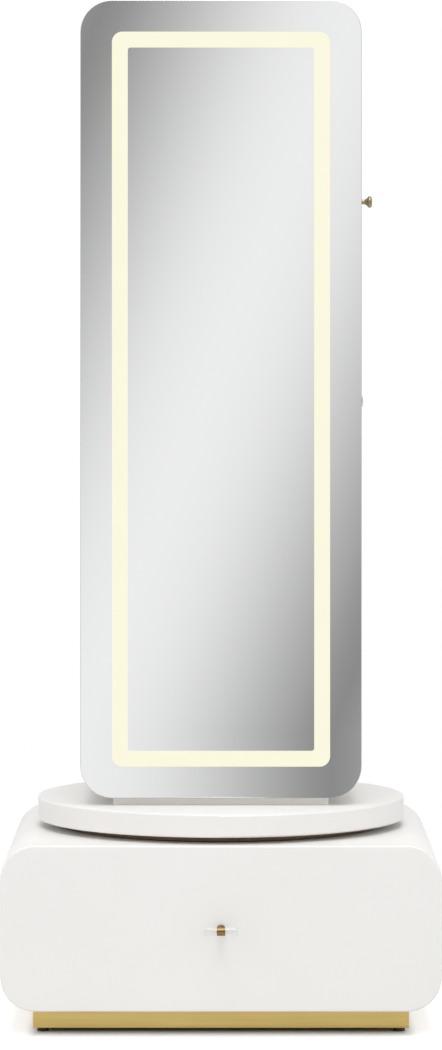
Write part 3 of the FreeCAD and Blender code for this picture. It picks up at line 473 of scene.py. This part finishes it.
def floor_painted_light(recipe):
    """Painted light on the floor: emission that whitens it away from the plinth, soonest beside it, lifting
    the shade there; in front it rises later, which keeps the contact shadow.
    """
    spot = recipe.split(recipe.seat.outputs["Object"])
    plinth_low, plinth_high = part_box("plinth_front")[0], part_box("plinth_back")[1]
    middle = (plinth_low.y + plinth_high.y) / 2
    aside = recipe.calc("SUBTRACT", recipe.calc("ABSOLUTE", spot["X"]), plinth_high.x)
    along = recipe.calc("ABSOLUTE", recipe.calc("SUBTRACT", spot["Y"], middle))
    ahead = recipe.calc("SUBTRACT", along, plinth_high.y - middle)
    beside = recipe.span(ahead, 1, 0, start=0, end=0.2)
    side = recipe.calc("MULTIPLY", recipe.span(aside, 0, SIDE_PAINTED_LIGHT, start=-0.012, end=0.012), beside)
    front = recipe.span(ahead, 0, FRONT_PAINTED_LIGHT, start=0.004, end=0.045)
    far = recipe.span(recipe.calc("MAXIMUM", aside, ahead), 0, FAR_PAINTED_LIGHT, start=0, end=1)
    painted_light = recipe.calc("MAXIMUM", recipe.calc("MAXIMUM", side, front), far)
    # Far in front the lamps are brighter, so less painted light is enough for white
    before = recipe.calc("SUBTRACT", plinth_low.y, spot["Y"])
    return recipe.calc("MULTIPLY", painted_light, recipe.span(before, 1, FAR_FRONT_SHARE, start=0.25, end=0.6))


def floor_paper():
    recipe = Recipe("floor_paper")
    place = recipe.place()
    mottle = recipe.span(recipe.noise(place, scale=6, detail=4), 0, 1)
    recipe.use("Base Color", recipe.blend(mottle, (0.75, 0.75, 0.75), (0.74, 0.74, 0.74)))
    recipe.use("Roughness", recipe.span(recipe.noise(place, scale=40), 0.7, 0.85))
    recipe.bump(recipe.noise(place, scale=300, detail=2), strength=0.05)
    # The floor's emission, seen by camera, glossy and transmission rays, is painted light that lifts its
    # shade around the plinth
    recipe.use("Emission Strength", recipe.calc("MULTIPLY", background_rays(recipe.tree), floor_painted_light(recipe)))
    recipe.set(Specular_IOR_Level=0.1, Emission_Color=(1, 1, 1, 1))
    return recipe.material


FLOOR_RADIUS = 1.8
FLOOR_DROP = 0.0002
FLOOR_SIDES = 96
FLOOR_RINGS = (0.02, 0.1, 0.2, 0.35, 0.6, 1)
build = bmesh.new()
rings = [ring_of(build, FLOOR_RADIUS * share, 0, FLOOR_SIDES) for share in FLOOR_RINGS]
build.faces.new(rings[0])
for inner, outer in zip(rings, rings[1:]):
    for step in range(FLOOR_SIDES):
        after = (step + 1) % FLOOR_SIDES
        build.faces.new((inner[step], outer[step], outer[after], inner[after]))
floor = mesh_object("floor", build)
floor.location.z = -FLOOR_DROP
floor.data.materials.append(floor_paper())

WALL_RADIUS = 10.83
WALL_LOW, WALL_HIGH = -8.0, 9.0
WALL_HALF_ANGLE = 100
WALL_STEPS = 80
WALL_STRENGTH = 1.157
STRIPE_TILT = math.radians(21)
STRIPE_CENTRE = -0.322
STRIPE_HALF = 0.93
STRIPE_LEVELS = ((0, 0.85), (0.27, 0.80), (0.54, 0.60), (0.81, 0.355), (1, 0.235))
UPRIGHT_BELOW = -0.57
PLAIN_BELOW, STRIPED_ABOVE = -3.0, -1.0
PLAIN_LEVEL = 0.89


def wall_stripes(recipe, out):
    """Soft slanting stripes from pale to dark, along the wall's arc; they run upright near its foot."""
    angle = recipe.calc("ARCTAN2", out["X"], recipe.calc("MULTIPLY", out["Y"], -1.0))
    arc = recipe.calc("MULTIPLY", angle, WALL_RADIUS)
    height = recipe.calc("MAXIMUM", out["Z"], UPRIGHT_BELOW)
    slant = recipe.calc("SUBTRACT", recipe.calc("MULTIPLY", arc, math.cos(STRIPE_TILT)),
                        recipe.calc("MULTIPLY", height, math.sin(STRIPE_TILT)))
    away = recipe.calc("PINGPONG", recipe.calc("SUBTRACT", slant, STRIPE_CENTRE), STRIPE_HALF)
    ramp = recipe.tree.nodes.new("ShaderNodeValToRGB")
    ramp.color_ramp.interpolation = "B_SPLINE"
    recipe.tree.links.new(recipe.calc("DIVIDE", away, STRIPE_HALF), ramp.inputs["Fac"])
    while len(ramp.color_ramp.elements) < len(STRIPE_LEVELS):
        ramp.color_ramp.elements.new(0.5)
    for element, (position, level) in zip(ramp.color_ramp.elements, STRIPE_LEVELS):
        element.position = position
        element.color = (level, level, level, 1)
    return ramp.outputs["Color"]


def wall_look():
    """Stripes that fade low down into one pale grey, nearly as bright as the floor."""
    recipe = Recipe("graded_wall")
    out = recipe.split(recipe.seat.outputs["Object"])
    striped = recipe.span(out["Z"], 0, 1, start=PLAIN_BELOW, end=STRIPED_ABOVE)
    stripes = recipe.calc("MULTIPLY", wall_stripes(recipe, out), striped)
    plain = recipe.span(out["Z"], PLAIN_LEVEL, 0, start=PLAIN_BELOW, end=STRIPED_ABOVE)
    recipe.use("Emission Color", recipe.calc("ADD", stripes, plain))
    recipe.set(Base_Color=(0, 0, 0, 1), Specular_IOR_Level=0.0, Emission_Strength=WALL_STRENGTH)
    return recipe.material


build = bmesh.new()
columns = []
for step in range(WALL_STEPS + 1):
    angle = math.radians(WALL_HALF_ANGLE * (2 * step / WALL_STEPS - 1))
    x, y = WALL_RADIUS * math.sin(angle), -WALL_RADIUS * math.cos(angle)
    columns.append((build.verts.new((x, y, WALL_LOW)), build.verts.new((x, y, WALL_HIGH))))
for left, right in zip(columns, columns[1:]):
    build.faces.new((left[0], left[1], right[1], right[0]))
wall = mesh_object("graded_wall", build)
wall.location.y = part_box("mirror_glass")[0].y
wall.data.materials.append(wall_look())
wall.visible_camera = False
wall.visible_diffuse = False
wall.visible_shadow = False
wall.visible_transmission = False

AMBIENT = 0.655
world = bpy.data.worlds.new("studio")
world.use_nodes = True
scene.world = world
tree = world.node_tree
back = tree.nodes["Background"]
back.inputs["Color"].default_value = (1, 1, 1, 1)
level = tree.nodes.new("ShaderNodeMapRange")
level.inputs["To Min"].default_value = AMBIENT
level.inputs["To Max"].default_value = 1.0
tree.links.new(background_rays(tree), level.inputs["Value"])
tree.links.new(level.outputs["Result"], back.inputs["Strength"])


def soft_lamp(name, at, target, wide, tall, watts):
    lamp = bpy.data.lights.new(name, "AREA")
    lamp.shape = "RECTANGLE"
    lamp.size = wide
    lamp.size_y = tall
    lamp.energy = watts
    item = bpy.data.objects.new(name, lamp)
    item.location = at
    item.rotation_euler = (Vector(target) - Vector(at)).to_track_quat("-Z", "Y").to_euler()
    item.visible_camera = False
    scene.collection.objects.link(item)
    return item


for side in (-1, 1):
    lamp = soft_lamp("front_lamp", at=(2.9 * side, -2.1, 1.4), target=(0, -0.2, 0.4), wide=1.4, tall=2.6,
                     watts=17)
    lamp.visible_glossy = False
soft_lamp("top_lamp", at=(0, -1.9, 4.2), target=(0, -1.9, 0), wide=2.4, tall=4.6, watts=99)

# Camera at the height and distance that the photograph's perspective gives
IMAGE_HEIGHT = 1050
FOCAL_PIXELS = 4602.7
HORIZON_PIXEL = 298.35
FRONT_DISTANCE = 7.0811
EYE_HEIGHT = 1.1349
SENSOR_HEIGHT = 36
lens = bpy.data.cameras.new("camera")
lens.sensor_fit = "VERTICAL"
lens.sensor_height = SENSOR_HEIGHT
lens.lens = SENSOR_HEIGHT * FOCAL_PIXELS / IMAGE_HEIGHT
lens.shift_y = (HORIZON_PIXEL - IMAGE_HEIGHT / 2) / IMAGE_HEIGHT
lens.clip_end = 100
camera = bpy.data.objects.new("camera", lens)
camera.location = (0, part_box("drawer_front")[0].y - FRONT_DISTANCE, EYE_HEIGHT)
camera.rotation_euler = (math.radians(90), 0, 0)
scene.collection.objects.link(camera)
scene.camera = camera
scene.view_settings.view_transform = "Standard"

bpy.context.view_layer.update()
